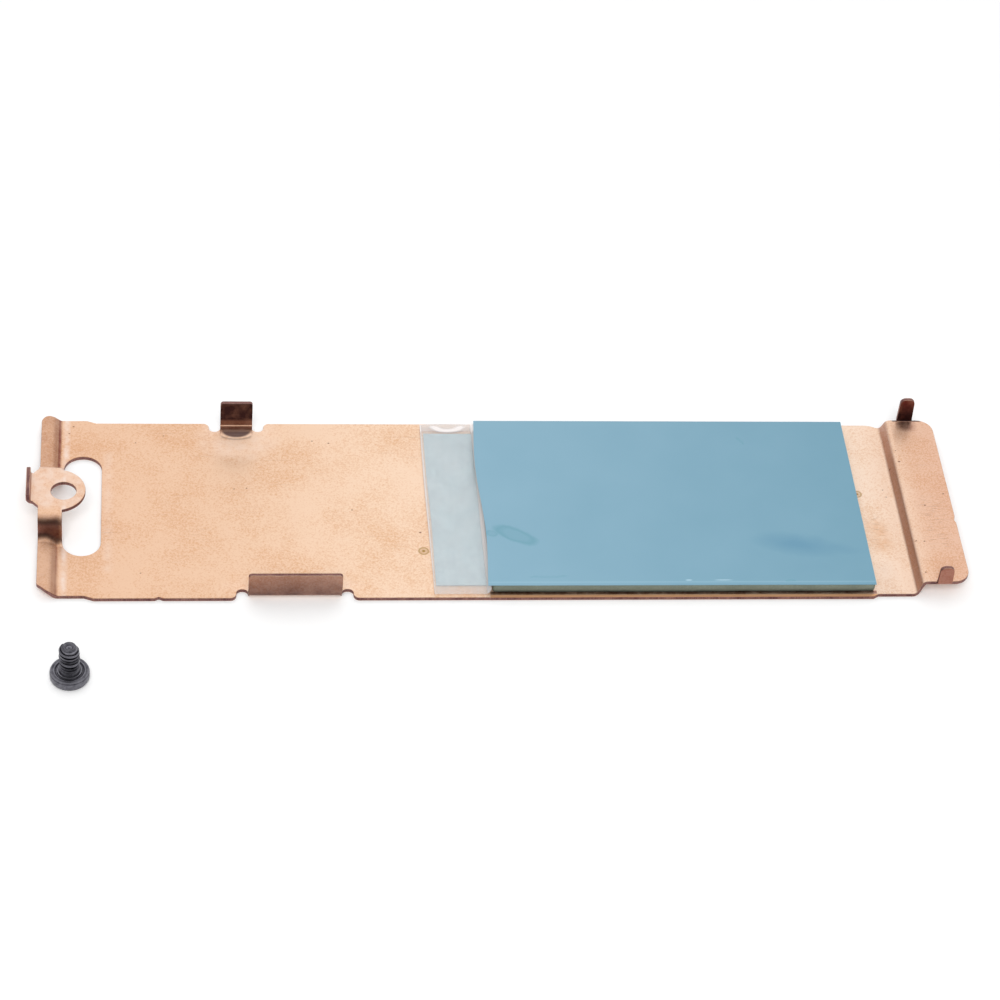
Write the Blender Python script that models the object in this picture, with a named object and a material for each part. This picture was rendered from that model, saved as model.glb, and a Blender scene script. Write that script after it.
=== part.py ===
"""Heat sink for a laptop's M.2 drive, 80 mm long and 22 mm wide.

One thin copper sheet, stamped and folded, lies tabs up as it comes out of its bag. A thermal pad under a
blue release liner and a strip of tape under a clear film are stuck on it, and its black screw stands
beside it. X runs along the drive from the screw end to the connector end, and Y from front to rear.
The origin is the middle of the drive's footprint, on the flat underside of the sheet. Lengths are in metres.
"""

from math import atan2, cos, hypot, pi, sin, tan

import bmesh
import bpy
from mathutils import Vector

# The copper sheet
SHEET = 0.0004
DRIVE_LENGTH = 0.080
DRIVE_WIDTH = 0.022
DRIVE_CLEARANCE = 0.0002
FRONT_EDGE = 0.0116
REAR_EDGE = 0.0124
TAB_BEND = 0.00085
SOFT_BEND = 0.0005
TIGHT_BEND = 0.0002

# The raised strip at the screw end
STRIP_RISE = 0.00075
STRIP_EDGE = 0.00235
STRIP_SHOULDER = 0.0014
STRIP_CREASE = 0.0005
STRIP_FALL = 0.00013
STRIP_CROWN_RADIUS = 0.0013
STRIP_CORNER = 0.00095
STRIP_CORNER_ROUNDING = 0.0010
STRIP_REAR_ROUNDING = 0.0008
STRIP_REAR_INSET = 0.00014
END_SHIFT = 0.00035
END_SHIFT_START = 0.0020
END_SHIFT_RUN = 0.0009
EDGE_NICK_X = 0.0089
EDGE_NICK_DEPTH = 0.0002
EDGE_NICK_RUN = 0.0004

# The ear that the screw holds, lifted out of the strip
EAR_RISE = 0.0027
EAR_SHOULDER = 0.0038
EAR_FOOT = 0.0042
EAR_BEND = 0.0008
HOLE_RADIUS = 0.0012
LOBE_RADIUS = 0.0028
LOBE_OFFSET_X = -0.00075
LOBE_OFFSET_Y = 0.00015
TONGUE_REACH = 0.0029
TONGUE_FRONT = 0.0014
TONGUE_REAR = 0.00245
TONGUE_CHAMFER = 0.0006
LIP_RISE = 0.00075

# The slot beside the ear
SLOT_WIDTH = 0.0036
SLOT_START = -0.0001
SLOT_FRONT = 0.0060
SLOT_REAR = 0.0076

# The tabs that the drive snaps between, and the reliefs beside them
REAR_TAB_X = 0.01645
REAR_TAB_WIDTH = 0.0031
REAR_TAB_RISE = 0.00368
FRONT_TAB_X = 0.0215
FRONT_TAB_WIDTH = 0.0087
FRONT_TAB_RISE = 0.00285
TAB_CORNER = 0.0003
RELIEF_WIDTH = 0.0011
RELIEF_DEPTH = 0.00115
RELIEF_MOUTH = 0.00055
RELIEF_ROUND = 0.00052

# The step up to the flange that lies on the connector
STEP_GAP = 0.00035
STEP_RUN = 0.0006
FLANGE_RISE = 0.0013
FLANGE_LENGTH = 0.00513
FLANGE_INSET = 0.00065
FLANGE_CORNER = 0.00155
FLANGE_ROOT_CORNER = 0.0003
REAR_SHOULDER_START = 0.0006
REAR_SHOULDER_RUN = 0.0008
REAR_SHOULDER_CORNER = 0.0023
FRONT_SHOULDER_RUN = 0.0006
FRONT_SHOULDER_CORNER = 0.0011
TRIM_TO_STEP = 0.00415
TRIM_DEPTH = 0.0003
TRIM_RUN = 0.0005
NICK_Y = -0.0026
NICK_DEPTH = 0.00014
NICK_FRONT_RUN = 0.0003
NICK_REAR_RUN = 0.0006

# The fingers that hook over the connector's ends
FINGER_PROUD = 0.0003
REAR_FINGER_FROM_END = 0.00268
REAR_FINGER_WIDTH = 0.0016
REAR_FINGER_RISE = 0.00272
FRONT_FINGER_FROM_END = 0.00258
FRONT_FINGER_WIDTH = 0.0015
FRONT_FINGER_RISE = 0.0020
FINGER_TAPER = 0.0001

# The pad, its liner, the tape and its film
BOND_LINE = 0.00003
LAYER_GAP = 0.00002
PAD_START = 0.0399
PAD_TO_STEP = 0.00395
PAD_DEPTH = 0.0228
PAD_MIDDLE_Y = 0.0004
PAD_THICKNESS = 0.0009
PAD_CORNER = 0.0003
LINER_THICKNESS = 0.00008
FILM_WIDTH = 0.00535
FILM_TO_PAD = 0.0001
FILM_MARGIN = 0.0003
FILM_THICKNESS = 0.00006
TAPE_INSET = 0.0003
TAPE_MARGIN = 0.0012
TAPE_THICKNESS = 0.00008

# The screw
SCREW_X = 0.0009
SCREW_Y = -0.0212
SCREW_HEAD_RADIUS = 0.0018
SCREW_HEAD_HEIGHT = 0.0010
SCREW_HEAD_ROUNDING = 0.0003
SCREW_RADIUS = 0.00095
SCREW_LENGTH = 0.0030
SCREW_TIP_CHAMFER = 0.00025
RECESS_REACH = 0.0009
RECESS_WIDTH = 0.0003
RECESS_DEPTH = 0.0005

BEND_STEPS = 7
ROUND_STEPS = 8
CIRCLE_STEPS = 56
OVERRUN = 0.002
FOOT_OVERLAP = 0.0008

SCREW_END = -DRIVE_LENGTH / 2
HALF_BAY = DRIVE_WIDTH / 2 + DRIVE_CLEARANCE
STEP_FOOT_X = SCREW_END + DRIVE_LENGTH + STEP_GAP
STEP_HEAD_X = STEP_FOOT_X + STEP_RUN
FLANGE_END_X = STEP_FOOT_X + FLANGE_LENGTH
ARM_X = SCREW_END + SLOT_START
EAR_TOP = SHEET + EAR_RISE


def clear_scene():
    for item in list(bpy.data.objects):
        bpy.data.objects.remove(item, do_unlink=True)


def rounded(corners, closed=False):
    """Points along a path whose corners, given as (a, b, radius, steps), are turned into arcs."""
    points = []
    count = len(corners)
    for i, (a, b, radius, steps) in enumerate(corners):
        here = Vector((a, b))
        ends_here = not closed and i in (0, count - 1)
        if radius == 0 or ends_here:
            points.append(here)
            continue
        back = (Vector(corners[i - 1][:2]) - here).normalized()
        ahead = (Vector(corners[(i + 1) % count][:2]) - here).normalized()
        half_angle = back.angle(ahead) / 2
        reach = radius / tan(half_angle)
        centre = here + (back + ahead).normalized() * (radius / sin(half_angle))
        first = here + back * reach - centre
        turn = pi - 2 * half_angle
        side = 1 if back.x * ahead.y - back.y * ahead.x < 0 else -1
        start = atan2(first.y, first.x)
        for k in range(steps + 1):
            angle = start + side * turn * k / steps
            points.append(centre + Vector((cos(angle), sin(angle))) * radius)
    return points


def thickened(path, thickness):
    """The closed outline of a ribbon that has the path on its left face."""
    far_side = []
    for i, point in enumerate(path):
        before = (point - path[i - 1]).normalized() if i > 0 else None
        after = (path[i + 1] - point).normalized() if i < len(path) - 1 else None
        along = (before or after) + (after or before)
        along.normalize()
        stretch = (after or before).dot(along)
        far_side.append(point + Vector((along.y, -along.x)) * (thickness / stretch))
    return path + far_side[::-1]


def new_object(name, mesh):
    item = bpy.data.objects.new(name, mesh)
    bpy.context.scene.collection.objects.link(item)
    return item


def prism(name, outline, axis, low, high):
    """The outline, drawn across the named axis, extruded along it from low to high."""
    place = {
        "X": lambda a, b: (low, a, b),
        "Y": lambda a, b: (a, low, b),
        "Z": lambda a, b: (a, b, low),
    }[axis]
    along = {"X": (1, 0, 0), "Y": (0, 1, 0), "Z": (0, 0, 1)}[axis]
    bm = bmesh.new()
    base = bm.faces.new([bm.verts.new(place(point[0], point[1])) for point in outline])
    pushed = bmesh.ops.extrude_face_region(bm, geom=[base])["geom"]
    moved = [item for item in pushed if isinstance(item, bmesh.types.BMVert)]
    bmesh.ops.translate(bm, verts=moved, vec=Vector(along) * (high - low))
    bmesh.ops.recalc_face_normals(bm, faces=bm.faces)
    mesh = bpy.data.meshes.new(name)
    bm.to_mesh(mesh)
    bm.free()
    return new_object(name, mesh)


def circle(centre_x, centre_y, radius):
    angles = [2 * pi * k / CIRCLE_STEPS for k in range(CIRCLE_STEPS)]
    return [(centre_x + radius * cos(a), centre_y + radius * sin(a)) for a in angles]


def combine(item, operation, other):
    """A Boolean modifier whose other object is only a helper."""
    modifier = item.modifiers.new(operation.lower() + " " + other.name, "BOOLEAN")
    modifier.operation = operation
    modifier.object = other
    modifier.solver = "EXACT"
    other.hide_render = True
    other.display_type = "WIRE"


def material(name, colour, metallic, roughness, alpha=1.0):
    result = bpy.data.materials.new(name)
    result.use_nodes = True
    shader = result.node_tree.nodes["Principled BSDF"]
    shader.inputs["Base Color"].default_value = (*colour, 1.0)
    shader.inputs["Metallic"].default_value = metallic
    shader.inputs["Roughness"].default_value = roughness
    shader.inputs["Alpha"].default_value = alpha
    return result


def finish(item, surface):
    item.data.materials.append(surface)
    item.data.shade_smooth()
    item.data.set_sharp_from_angle(angle=0.6)


def length_profile():
    """Height of the sheet's top face along X: strip, slope, panel, step and flange."""
    left = SCREW_END - STRIP_EDGE - OVERRUN
    strip = SHEET + STRIP_RISE
    flange = SHEET + FLANGE_RISE
    fall_slope = STRIP_FALL / (STRIP_EDGE - STRIP_SHOULDER)
    left_fall = fall_slope * (STRIP_EDGE + OVERRUN - STRIP_SHOULDER)
    return rounded(
        [
            (left, strip - left_fall, 0, 0),
            (SCREW_END - STRIP_SHOULDER, strip, STRIP_CROWN_RADIUS, BEND_STEPS),
            (SCREW_END - STRIP_CREASE, SHEET, SOFT_BEND, BEND_STEPS),
            (STEP_FOOT_X, SHEET, SOFT_BEND, BEND_STEPS),
            (STEP_HEAD_X, flange, TIGHT_BEND + SHEET, BEND_STEPS),
            (FLANGE_END_X + OVERRUN, flange, 0, 0),
        ]
    )


def ear_profile():
    """Share of the ear's lift along Y: none on the strip, all of it between the two walls."""
    lift = EAR_RISE - STRIP_RISE
    side = FRONT_EDGE + REAR_EDGE
    path = rounded(
        [
            (-side, 0, 0, 0),
            (-EAR_FOOT, 0, EAR_BEND, BEND_STEPS),
            (-EAR_SHOULDER, lift, EAR_BEND + SHEET, BEND_STEPS),
            (EAR_SHOULDER, lift, EAR_BEND + SHEET, BEND_STEPS),
            (EAR_FOOT, 0, EAR_BEND, BEND_STEPS),
            (side, 0, 0, 0),
        ]
    )
    return [(point.x, point.y / lift) for point in path]


def pressed_sheet():
    """The whole sheet as pressed, before its outline is cut: a grid of heights made solid."""
    ear_end = SCREW_END + LOBE_OFFSET_X + LOBE_RADIUS + SHEET
    slot_end = ARM_X + SLOT_WIDTH
    drop_end = (ear_end + slot_end) / 2
    stations = [(point.x, point.y) for point in length_profile()]
    stations += [(x, SHEET) for x in (ARM_X, ear_end, drop_end, (drop_end + slot_end) / 2)]
    stations.sort()
    shares = ear_profile()
    bm = bmesh.new()
    rows = []
    for x, height in stations:
        row = []
        for y, share in shares:
            lift = (EAR_TOP - height) * share if x <= ear_end else 0
            row.append(bm.verts.new((x, y, height + lift)))
        rows.append(row)
    for first, second in zip(rows, rows[1:]):
        for k in range(len(shares) - 1):
            bm.faces.new((first[k], second[k], second[k + 1], first[k + 1]))
    mesh = bpy.data.meshes.new("heat_spreader")
    bm.to_mesh(mesh)
    bm.free()
    item = new_object("heat_spreader", mesh)
    solid = item.modifiers.new("sheet thickness", "SOLIDIFY")
    solid.thickness = SHEET
    solid.offset = -1
    solid.use_even_offset = True
    return item


def relief_pair(edge_y, inward, bend_line, middle, width, direction):
    """One edge's outline past a tab: relief, root of the tab, relief. direction is the way along X."""
    half = width / 2
    floor = edge_y + inward * RELIEF_DEPTH
    root = floor - inward * RELIEF_ROUND * 1.01
    points = []
    for sign in (-1, 1):
        near = middle + direction * sign * half
        away = near + direction * sign * RELIEF_WIDTH
        inside = near - direction * sign * RELIEF_ROUND / 5
        pair = [
            (away, edge_y, RELIEF_MOUTH, ROUND_STEPS),
            (away, floor, RELIEF_ROUND, ROUND_STEPS),
            (near, floor, RELIEF_ROUND, ROUND_STEPS),
            (near, root, 0, 0),
            (inside, root, 0, 0),
            (inside, bend_line, 0, 0),
        ]
        points += pair if sign < 0 else pair[::-1]
    return points


def sheet_outline():
    """The cut outline of the sheet in plan, anticlockwise from the strip's front corner."""
    strip_x = SCREW_END - STRIP_EDGE
    shift_x = SCREW_END + END_SHIFT_START
    nick_x = SCREW_END + EDGE_NICK_X
    front_end = -FRONT_EDGE + END_SHIFT
    rear_end = REAR_EDGE + END_SHIFT
    trim_x = STEP_FOOT_X - TRIM_TO_STEP
    shoulder_x = STEP_FOOT_X - REAR_SHOULDER_START
    front_trim = -FRONT_EDGE + TRIM_DEPTH
    front_flange = -FRONT_EDGE + FLANGE_INSET
    rear_flange = REAR_EDGE - FLANGE_INSET
    bend_line = HALF_BAY - TAB_BEND
    tongue_x = SCREW_END - TONGUE_REACH
    outline = [
        (strip_x, front_end + STRIP_CORNER, STRIP_CORNER / 3, ROUND_STEPS),
        (strip_x + STRIP_CORNER, front_end, STRIP_CORNER_ROUNDING, ROUND_STEPS),
        (shift_x, front_end, 0, 0),
        (shift_x + END_SHIFT_RUN, -FRONT_EDGE, 0, 0),
        (nick_x - EDGE_NICK_RUN, -FRONT_EDGE, 0, 0),
        (nick_x, -FRONT_EDGE + EDGE_NICK_DEPTH, 0, 0),
        (nick_x + EDGE_NICK_RUN, -FRONT_EDGE, 0, 0),
    ]
    outline += relief_pair(
        -FRONT_EDGE, 1, -bend_line, SCREW_END + FRONT_TAB_X, FRONT_TAB_WIDTH, 1
    )
    outline += [
        (trim_x, -FRONT_EDGE, 0, 0),
        (trim_x + TRIM_RUN, front_trim, 0, 0),
        (STEP_HEAD_X - FRONT_SHOULDER_RUN, front_trim, FRONT_SHOULDER_CORNER, ROUND_STEPS),
        (STEP_HEAD_X, front_flange, FLANGE_ROOT_CORNER, ROUND_STEPS),
        (FLANGE_END_X, front_flange, FLANGE_CORNER, ROUND_STEPS),
        (FLANGE_END_X, NICK_Y - NICK_FRONT_RUN, 0, 0),
        (FLANGE_END_X - NICK_DEPTH, NICK_Y, 0, 0),
        (FLANGE_END_X, NICK_Y + NICK_REAR_RUN, 0, 0),
        (FLANGE_END_X, rear_flange, FLANGE_CORNER, ROUND_STEPS),
        (shoulder_x + REAR_SHOULDER_RUN, rear_flange, FLANGE_ROOT_CORNER, ROUND_STEPS),
        (shoulder_x, REAR_EDGE, REAR_SHOULDER_CORNER, ROUND_STEPS),
    ]
    outline += relief_pair(
        REAR_EDGE, -1, bend_line, SCREW_END + REAR_TAB_X, REAR_TAB_WIDTH, -1
    )
    outline += [
        (shift_x + END_SHIFT_RUN, REAR_EDGE, 0, 0),
        (shift_x, rear_end, 0, 0),
        (SCREW_END - STRIP_CREASE, rear_end, 0, 0),
        (SCREW_END - STRIP_SHOULDER, rear_end - STRIP_REAR_INSET, 0, 0),
        (strip_x, rear_end - STRIP_REAR_INSET, STRIP_REAR_ROUNDING, ROUND_STEPS),
        (strip_x, TONGUE_REAR + TONGUE_CHAMFER, TONGUE_CHAMFER / 2, ROUND_STEPS),
        (tongue_x, TONGUE_REAR, 0, 0),
        (tongue_x, -TONGUE_FRONT, 0, 0),
        (strip_x, -TONGUE_FRONT - TONGUE_CHAMFER, TONGUE_CHAMFER / 2, ROUND_STEPS),
    ]
    return rounded(outline, closed=True)


def slot_cutter():
    """The slot with half-round ends, less the round lobe of the ear that reaches into it."""
    half = SLOT_WIDTH / 2
    ends = [
        (ARM_X, -SLOT_FRONT, half * 0.999, 2 * ROUND_STEPS),
        (ARM_X + SLOT_WIDTH, -SLOT_FRONT, half * 0.999, 2 * ROUND_STEPS),
        (ARM_X + SLOT_WIDTH, SLOT_REAR, half * 0.999, 2 * ROUND_STEPS),
        (ARM_X, SLOT_REAR, half * 0.999, 2 * ROUND_STEPS),
    ]
    slot = prism("slot cutter", rounded(ends, closed=True), "Z", -OVERRUN, EAR_TOP + OVERRUN)
    lobe_centre = (SCREW_END + LOBE_OFFSET_X, LOBE_OFFSET_Y)
    lobe = prism(
        "lobe guard", circle(*lobe_centre, LOBE_RADIUS), "Z", -2 * OVERRUN, EAR_TOP + 2 * OVERRUN
    )
    combine(slot, "DIFFERENCE", lobe)
    return slot


def upright(name, middle_x, width, root_z, face_y, outward, rise, bend, corner, taper=0.0):
    """A tab or finger turned up out of the sheet: a bent ribbon, cut to its own front view.

    face_y is its inner face, outward is the side that it stands on, and root_z is the sheet's top there.
    """
    mid_bend = bend + SHEET
    top = root_z + rise
    outer_y = face_y + outward * SHEET
    path = rounded(
        [
            (face_y - outward * (bend + FOOT_OVERLAP), root_z - SHEET, 0, 0),
            (outer_y, root_z - SHEET, mid_bend, BEND_STEPS + 1),
            (outer_y, top, 0, 0),
        ]
    )
    section = thickened(path, -outward * SHEET)
    low = middle_x - width / 2
    high = middle_x + width / 2
    ribbon = prism(name, section, "X", low - OVERRUN, high + OVERRUN)
    view = rounded(
        [
            (low, root_z - OVERRUN, 0, 0),
            (high, root_z - OVERRUN, 0, 0),
            (high - taper, top, corner, ROUND_STEPS),
            (low + taper, top, corner, ROUND_STEPS),
        ],
        closed=True,
    )
    reach = abs(face_y) + OVERRUN
    front_view = prism(name + " outline", view, "Y", -reach, reach)
    combine(ribbon, "INTERSECT", front_view)
    return ribbon


def lip():
    """The low rim turned up on the outer edge of the ear."""
    outer_x = SCREW_END - TONGUE_REACH - TIGHT_BEND - SHEET
    under = EAR_TOP - SHEET
    path = rounded(
        [
            (SCREW_END - TONGUE_REACH + FOOT_OVERLAP, under, 0, 0),
            (outer_x, under, TIGHT_BEND + SHEET, BEND_STEPS),
            (outer_x, EAR_TOP + LIP_RISE, 0, 0),
        ]
    )
    return prism("lip", thickened(path, SHEET), "Y", -TONGUE_FRONT, TONGUE_REAR)


def heat_spreader(copper):
    sheet = pressed_sheet()
    outline = prism("sheet outline", sheet_outline(), "Z", -OVERRUN, EAR_TOP + OVERRUN)
    combine(sheet, "INTERSECT", outline)
    combine(sheet, "DIFFERENCE", slot_cutter())
    hole = prism("screw hole", circle(SCREW_END, 0, HOLE_RADIUS), "Z", -OVERRUN, EAR_TOP + OVERRUN)
    combine(sheet, "DIFFERENCE", hole)
    flange_top = SHEET + FLANGE_RISE
    rear_finger_face = REAR_EDGE - FLANGE_INSET + FINGER_PROUD - SHEET
    front_finger_face = -FRONT_EDGE + FLANGE_INSET - FINGER_PROUD + SHEET
    uprights = [
        upright("rear tab", SCREW_END + REAR_TAB_X, REAR_TAB_WIDTH, SHEET, HALF_BAY, 1,
                REAR_TAB_RISE, TAB_BEND, TAB_CORNER),
        upright("front tab", SCREW_END + FRONT_TAB_X, FRONT_TAB_WIDTH, SHEET, -HALF_BAY, -1,
                FRONT_TAB_RISE, TAB_BEND, TAB_CORNER),
        upright("rear finger", FLANGE_END_X - REAR_FINGER_FROM_END, REAR_FINGER_WIDTH, flange_top,
                rear_finger_face, 1, REAR_FINGER_RISE, TIGHT_BEND,
                REAR_FINGER_WIDTH / 3, FINGER_TAPER),
        upright("front finger", FLANGE_END_X - FRONT_FINGER_FROM_END, FRONT_FINGER_WIDTH, flange_top,
                front_finger_face, -1, FRONT_FINGER_RISE, TIGHT_BEND,
                FRONT_FINGER_WIDTH / 3, FINGER_TAPER),
    ]
    for piece in uprights:
        combine(sheet, "UNION", piece)
    combine(sheet, "UNION", lip())
    finish(sheet, copper)


def slab(name, x_low, x_high, y_low, y_high, z_low, thickness, corner, surface):
    """A flat layer with rounded corners in plan."""
    outline = rounded(
        [
            (x_low, y_low, corner, ROUND_STEPS),
            (x_high, y_low, corner, ROUND_STEPS),
            (x_high, y_high, corner, ROUND_STEPS),
            (x_low, y_high, corner, ROUND_STEPS),
        ],
        closed=True,
    )
    finish(prism(name, outline, "Z", z_low, z_low + thickness), surface)


def pad_and_liner(silicone, blue_film):
    x_low = SCREW_END + PAD_START
    x_high = STEP_FOOT_X - PAD_TO_STEP
    y_low = PAD_MIDDLE_Y - PAD_DEPTH / 2
    y_high = PAD_MIDDLE_Y + PAD_DEPTH / 2
    pad_z = SHEET + BOND_LINE
    liner_z = pad_z + PAD_THICKNESS + LAYER_GAP
    slab("thermal_pad", x_low, x_high, y_low, y_high, pad_z, PAD_THICKNESS, PAD_CORNER, silicone)
    slab("blue_liner", x_low, x_high, y_low, y_high, liner_z, LINER_THICKNESS, PAD_CORNER, blue_film)


def tape_and_film(tape, clear):
    x_high = SCREW_END + PAD_START - FILM_TO_PAD
    x_low = x_high - FILM_WIDTH
    y_low = -FRONT_EDGE + FILM_MARGIN
    y_high = REAR_EDGE - FILM_MARGIN
    tape_z = SHEET + BOND_LINE
    film_z = tape_z + TAPE_THICKNESS + LAYER_GAP
    slab("tape_strip", x_low + TAPE_INSET, x_high - TAPE_INSET, y_low + TAPE_MARGIN, y_high - TAPE_MARGIN,
         tape_z, TAPE_THICKNESS, PAD_CORNER, tape)
    slab("clear_film", x_low, x_high, y_low, y_high, film_z, FILM_THICKNESS, PAD_CORNER, clear)


def turned(name, profile, centre):
    """The profile, in (radius, height) from the axis round to the axis, turned about the axis."""
    bm = bmesh.new()
    verts = [bm.verts.new((radius, 0, height)) for radius, height in profile]
    edges = [bm.edges.new(pair) for pair in zip(verts, verts[1:])]
    bmesh.ops.spin(
        bm, geom=verts + edges, angle=2 * pi, steps=CIRCLE_STEPS, axis=(0, 0, 1), cent=(0, 0, 0)
    )
    bmesh.ops.remove_doubles(bm, verts=bm.verts, dist=SHEET / 1000)
    bmesh.ops.recalc_face_normals(bm, faces=bm.faces)
    mesh = bpy.data.meshes.new(name)
    bm.to_mesh(mesh)
    bm.free()
    item = new_object(name, mesh)
    item.location = centre
    return item


def fixing_screw(steel):
    """The screw stands on its flat head, with its thread up."""
    top = SCREW_HEAD_HEIGHT + SCREW_LENGTH
    rounding = rounded(
        [
            (0, 0, 0, 0),
            (SCREW_HEAD_RADIUS, 0, SCREW_HEAD_ROUNDING, ROUND_STEPS),
            (SCREW_HEAD_RADIUS, SCREW_HEAD_HEIGHT, 0, 0),
        ]
    )
    profile = [(point.x, point.y) for point in rounding] + [
        (SCREW_RADIUS, SCREW_HEAD_HEIGHT),
        (SCREW_RADIUS, top - SCREW_TIP_CHAMFER),
        (SCREW_RADIUS - SCREW_TIP_CHAMFER, top),
        (0, top),
    ]
    centre = (SCREW_END + SCREW_X, SCREW_Y, 0)
    screw = turned("fixing_screw", profile, centre)
    half = RECESS_WIDTH / 2
    slots = (("recess along", RECESS_REACH, half), ("recess across", half, RECESS_REACH))
    for name, reach_x, reach_y in slots:
        corners = [(-reach_x, -reach_y), (reach_x, -reach_y), (reach_x, reach_y), (-reach_x, reach_y)]
        cut = prism(name, corners, "Z", -OVERRUN, RECESS_DEPTH)
        cut.location = centre
        combine(screw, "DIFFERENCE", cut)
    finish(screw, steel)


def main():
    clear_scene()
    copper = material("polished copper", (0.86, 0.52, 0.36), 1.0, 0.28)
    silicone = material("grey-green silicone", (0.17, 0.22, 0.16), 0.0, 0.75)
    blue_film = material("blue release film", (0.22, 0.40, 0.50), 0.0, 0.35)
    tape = material("pale grey tape", (0.55, 0.63, 0.70), 0.0, 0.5)
    clear = material("clear film", (0.85, 0.88, 0.90), 0.0, 0.15, alpha=0.3)
    steel = material("black oxide steel", (0.03, 0.03, 0.035), 0.9, 0.35)
    heat_spreader(copper)
    pad_and_liner(silicone, blue_film)
    tape_and_film(tape, clear)
    fixing_screw(steel)


main()
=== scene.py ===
"""Looks of a folded copper heat sink for a laptop's M.2 drive, with its pad, films and screw.

Lengths are in metres, in the frame of the CAD model: X along the drive, Y to the rear, Z up from the table.
The materials work in millimetres, and so do the places and sizes that are given for their marks.
"""

from math import pi, radians

import bmesh
import bpy
from mathutils import Matrix, Vector, noise


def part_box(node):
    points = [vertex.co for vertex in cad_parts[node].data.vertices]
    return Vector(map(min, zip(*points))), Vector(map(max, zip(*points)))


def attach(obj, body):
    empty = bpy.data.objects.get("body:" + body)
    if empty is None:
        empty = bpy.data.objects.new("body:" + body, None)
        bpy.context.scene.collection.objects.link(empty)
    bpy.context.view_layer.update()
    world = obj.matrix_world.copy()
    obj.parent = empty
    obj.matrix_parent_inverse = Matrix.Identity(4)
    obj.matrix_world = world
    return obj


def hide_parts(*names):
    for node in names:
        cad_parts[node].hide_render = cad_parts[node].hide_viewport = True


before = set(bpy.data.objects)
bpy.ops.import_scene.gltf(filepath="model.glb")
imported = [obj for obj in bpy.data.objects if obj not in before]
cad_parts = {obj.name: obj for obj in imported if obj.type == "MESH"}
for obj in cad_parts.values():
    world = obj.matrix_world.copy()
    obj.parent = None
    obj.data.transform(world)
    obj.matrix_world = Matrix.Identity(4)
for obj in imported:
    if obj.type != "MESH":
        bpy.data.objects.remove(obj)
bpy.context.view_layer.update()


# ---- The copper sheet
# One 0.4 mm sheet of soft rolled copper, blanked and folded in one press and then degreased. Its outline is
# sheared, so every rim is rolled over by a few hundredths of a millimetre and the cut itself is dull.
RIM_ROUNDING = 0.00005
RIM_POINT_SPACING = 0.00004
SMOOTH_TURN = radians(40)
FLAT_TURN = radians(0.5)
CUT_WIDTH_LIMIT = 0.0006
HOLLOW_STEPS = 8
COPPER_ALONG = (
    (-44, "E9BA98"), (-26, "ECC1A0"), (-10, "F4CFB1"), (38, "F3D4BC"), (40.6, "F0CBB0"), (42.5, "E7BA9D"),
    (46, "E5B69A"),
)
COPPER_WORKED = "F7E0D2"
CLOUDED_FACTOR = (0.88, 0.76, 0.63, 1)
FRESH_FACTOR = (1.04, 1.10, 1.15, 1)
# Painted shade: the colour factor for upright faces and the shaded bands.
WALL_SHADE_FACTOR = (0.60, 0.49, 0.50, 1)
MATT_SHARE = 0.48
FLAT_REACH = 1000000.0
HALOS = (((-23.55, 10.3), (4.6, 3.8)), ((-18.5, -10.3), (7.4, 1.9)))
HALO_HEIGHT = 9.0
PIT_BROWN = "8A5A46"
STAIN_OCHRE = "A9823F"
GOLD_RUB_AND_GLINT = "E2AC80"
RUBBED_PLACE = (36.7, 39.5, -6.2, -0.8, 1.3)
# A painted highlight: the golden line along the rim in front of the pad.
MARGIN_GLINT = (-0.3, 36.6, -11.9, -11.27, 0.06)
CUT_LIGHT = "A67D74"
CUT_DARK = "6E4A4A"
# Places on the tabs for painted highlights and painted shade: a pale line where a tab's bend begins, and at the
# rear tab's foot a pale crescent with a dark patch inside it.
TAB_WALL = 10.85
TAB_WALL_REACH = 0.5
BEND_GLINT_HEIGHT = 1.24
TAB_FOOT_CENTRE = (-23.55, 11.35)
TAB_FOOT_RADII = (1.7, 1.0)
UNDER_DIE = (-25.15, -21.95, 9.0, 13.0, 0.25)
# A band is its low x, high x, low y, high y and the fade inside them. A strength comes after it.
# The first pale band, at the foot of the raised strip, is a painted highlight.
PALE_AND_GLINT_BANDS = (
    ((-40.35, -39.5, -13.0, 13.0, 0.35), 0.85), ((-36.5, -35.2, -8.5, 8.5, 0.6), 0.3),
    ((-44.6, -37.6, -2.6, 3.8, 0.8), 0.6),
)
# Painted shade: browner bands on the raised strip and its slope, at the fingers' feet and beside the liner, a
# painted shadow along the pad's foot, and one paler band that takes some painted shade off the ramp.
SHADE_BANDS = (
    ((-44.0, -40.3, 3.4, 13.0, 0.25), 0.42), ((-44.0, -40.3, -13.0, -3.0, 0.25), 0.3),
    ((-40.75, -40.35, 3.4, 13.0, 0.15), 0.8), ((-40.75, -40.35, -13.0, -4.8, 0.15), 0.35),
    ((41.9, 43.9, -11.5, -11.0, 0.1), 0.3), ((39.0, 41.8, -13.0, 13.0, 0.2), -0.12),
    ((41.7, 44.0, 9.9, 12.2, 0.8), 0.9), ((36.0, 39.4, -13.0, -6.5, 1.5), 0.12),
    ((-0.3, 36.6, -11.32, -10.8, 0.1), 1.1),
)
SCRATCHED = (((41.6, 45.2, -7.0, 1.5, 1.4), 0.15), ((36.5, 39.3, -6.0, 0.0, 1.4), 0.9))
PIT_SHAPE = (1.0, 1 / 1.4)
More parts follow.
